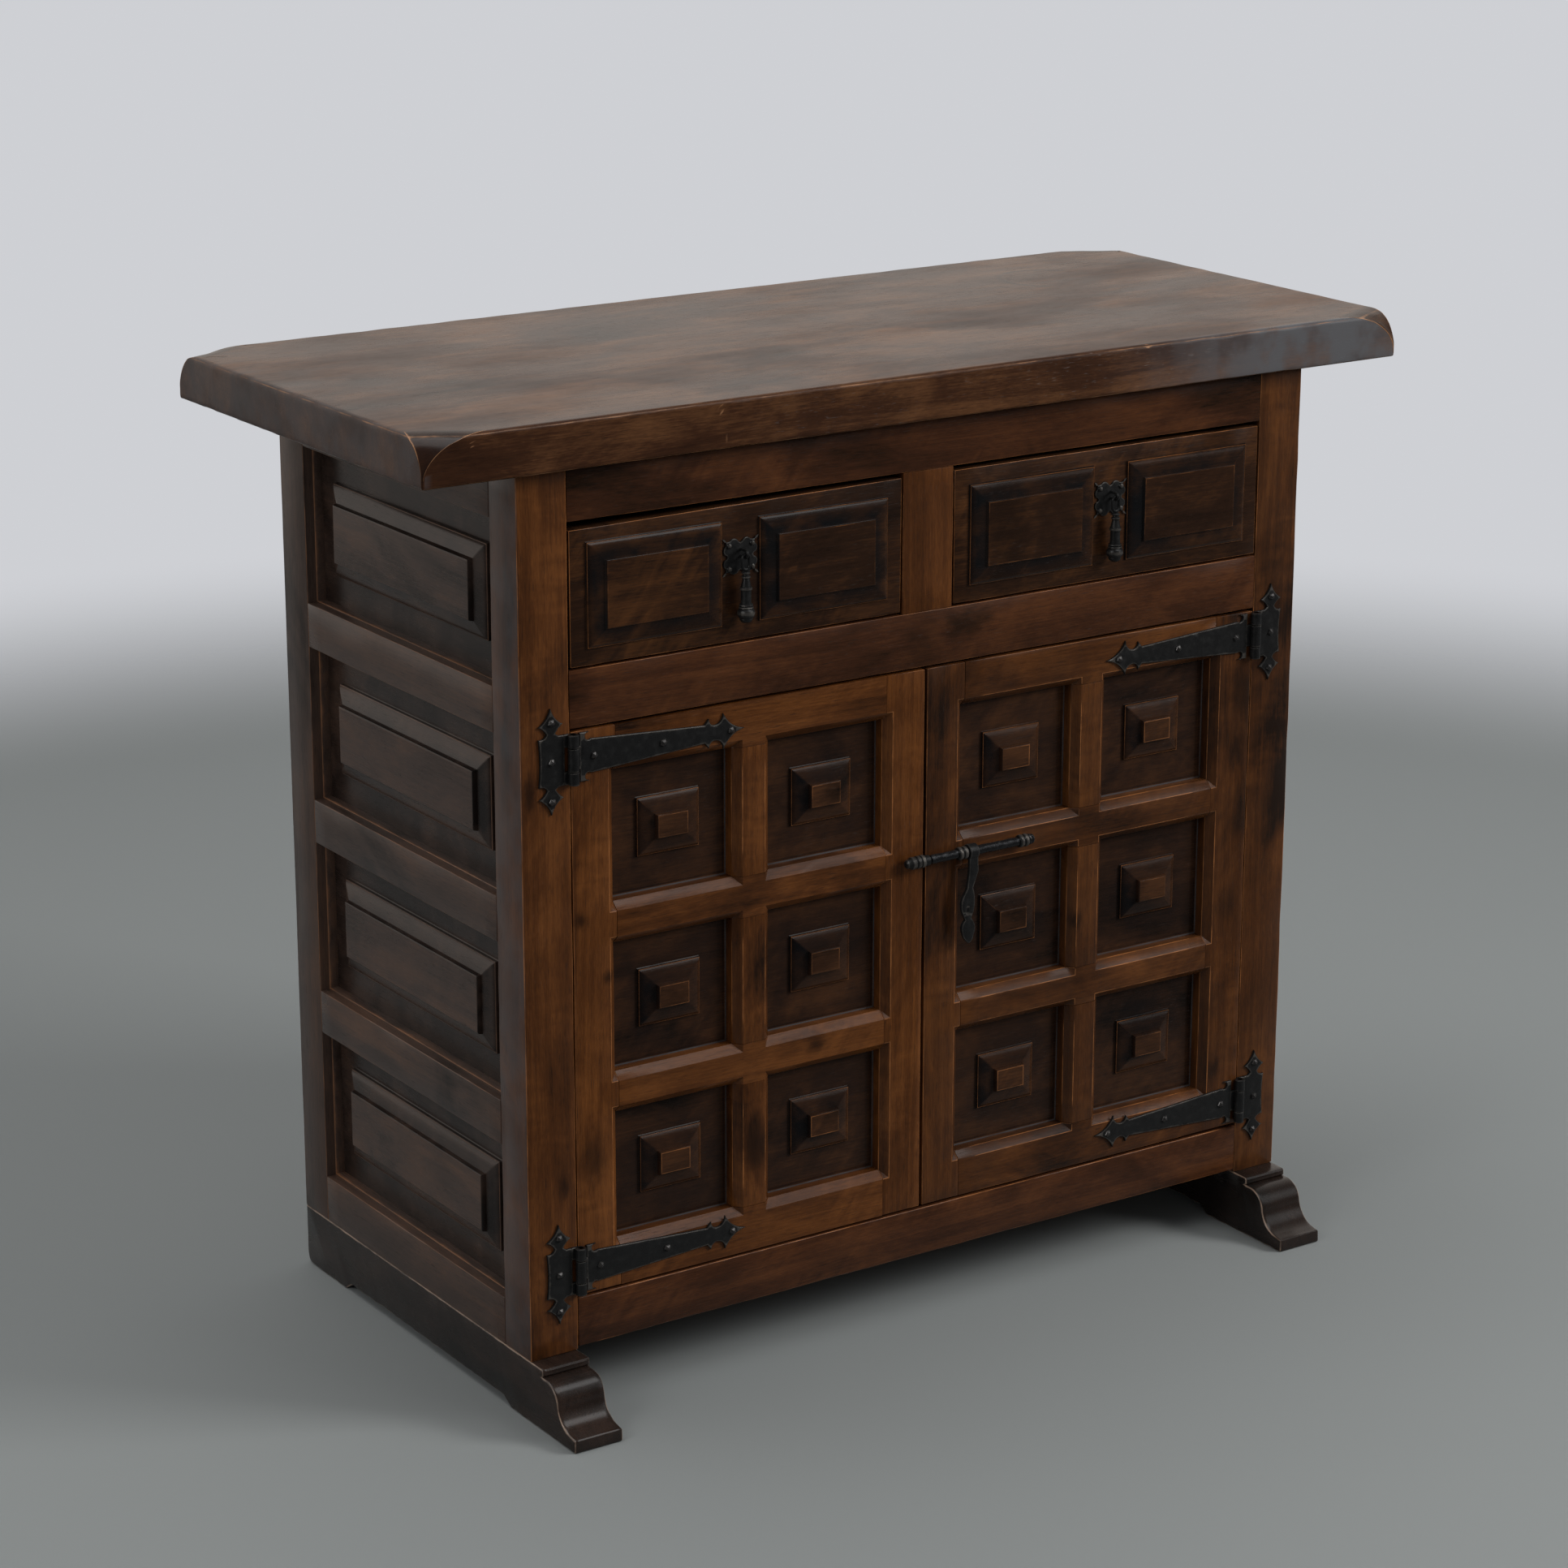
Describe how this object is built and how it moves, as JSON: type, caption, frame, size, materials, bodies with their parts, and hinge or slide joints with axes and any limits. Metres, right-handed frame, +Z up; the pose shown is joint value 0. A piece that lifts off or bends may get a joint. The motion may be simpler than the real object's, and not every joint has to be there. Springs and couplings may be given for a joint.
{
  "type": "vargueno",
  "caption": "Dark wood Spanish-style cabinet on sled feet: slab top, drawers with drop pulls over panelled doors on iron strap hinges with a sliding bolt.",
  "frame": {"origin": "on the floor under the middle of the overall box", "axes": "+X to the object's right as seen from the front, -Y out of the front, +Z up"},
  "size_m": [1, 0.4841, 0.8663],
  "materials": {
    "slab_wood": "dark walnut stain, satin, worn",
    "front_wood": "dark walnut stain with warm streaks, satin, worn edges",
    "side_wood": "dark walnut stain, satin",
    "sled_wood": "nearly black stain, scuffed satin",
    "inner_wood": "thin brown stain, matt",
    "iron": "black forged iron, low gloss",
    "screw_steel": "dull steel"
  },
  "bodies": {
    "case": {"back_boards": "inner_wood", "back_rails": "inner_wood", "bottom_board": "inner_wood", "case_screws": "screw_steel", "door_stop": "inner_wood", "drawer_deck": "inner_wood", "drawer_divider": "front_wood", "drawer_guides": "inner_wood", "front_bottom_rail": "front_wood", "front_middle_rail": "front_wood", "front_top_rail": "front_wood", "hinge_jamb_leaves": "iron", "hinge_jamb_nails": "iron", "hinge_pins": "iron", "post_front_left": "front_wood", "post_front_right": "front_wood", "post_rear_left": "side_wood", "post_rear_right": "side_wood", "shelf": "inner_wood", "shelf_cleats": "inner_wood", "side_beads_left": "side_wood", "side_beads_right": "side_wood", "side_panels_left": "side_wood", "side_panels_right": "side_wood", "side_rails_left": "side_wood", "side_rails_right": "side_wood", "slab_cleats": "inner_wood", "sled_left": "sled_wood", "sled_right": "sled_wood", "top_slab": "slab_wood"},
    "left_drawer": {"left_drawer_bottom": "inner_wood", "left_drawer_front": "front_wood", "left_drawer_walls": "inner_wood", "left_pull_nails": "iron", "left_pull_plate": "iron", "left_pull_staple": "iron"},
    "right_drawer": {"right_drawer_bottom": "inner_wood", "right_drawer_front": "front_wood", "right_drawer_walls": "inner_wood", "right_pull_nails": "iron", "right_pull_plate": "iron", "right_pull_staple": "iron"},
    "left_drop": {"left_drop": "iron"},
    "right_drop": {"right_drop": "iron"},
    "left_door": {"bolt_keeper": "iron", "left_door_muntins": "front_wood", "left_door_panels": "front_wood", "left_door_rails": "front_wood", "left_door_stiles": "front_wood", "left_door_strap_nails": "iron", "left_door_straps": "iron"},
    "right_door": {"bolt_staples": "iron", "right_door_muntins": "front_wood", "right_door_panels": "front_wood", "right_door_rails": "front_wood", "right_door_stiles": "front_wood", "right_door_strap_nails": "iron", "right_door_straps": "iron"},
    "bolt": {"bolt_bar": "iron"},
    "bolt_handle": {"bolt_handle": "iron"}
  },
  "joints": [
    {"name": "left_drawer_slide", "type": "slide", "parent": "case", "child": "left_drawer", "axis": [0, -1, 0], "range_m": [0, 0.26]},
    {"name": "right_drawer_slide", "type": "slide", "parent": "case", "child": "right_drawer", "axis": [0, -1, 0], "range_m": [0, 0.26]},
    {"name": "left_drop_swing", "type": "hinge", "parent": "left_drawer", "child": "left_drop", "pos_m": [-0.19473, -0.1805, 0.7329], "axis": [-1, 0, 0], "range_deg": [0, 90]},
    {"name": "right_drop_swing", "type": "hinge", "parent": "right_drawer", "child": "right_drop", "pos_m": [0.19103, -0.1805, 0.7329], "axis": [-1, 0, 0], "range_deg": [0, 90]},
    {"name": "left_door_swing", "type": "hinge", "parent": "case", "child": "left_door", "pos_m": [-0.35935, -0.1761, 0.3555], "axis": [0, 0, -1], "range_deg": [0, 160]},
    {"name": "right_door_swing", "type": "hinge", "parent": "case", "child": "right_door", "pos_m": [0.35935, -0.1761, 0.3555], "axis": [0, 0, 1], "range_deg": [0, 160]},
    {"name": "bolt_slide", "type": "slide", "parent": "right_door", "child": "bolt", "axis": [1, 0, 0], "range_m": [0, 0.044]},
    {"name": "bolt_handle_swing", "type": "hinge", "parent": "bolt", "child": "bolt_handle", "pos_m": [0.0409, -0.179, 0.434], "axis": [-1, 0, 0], "range_deg": [0, 120]}
  ]
}
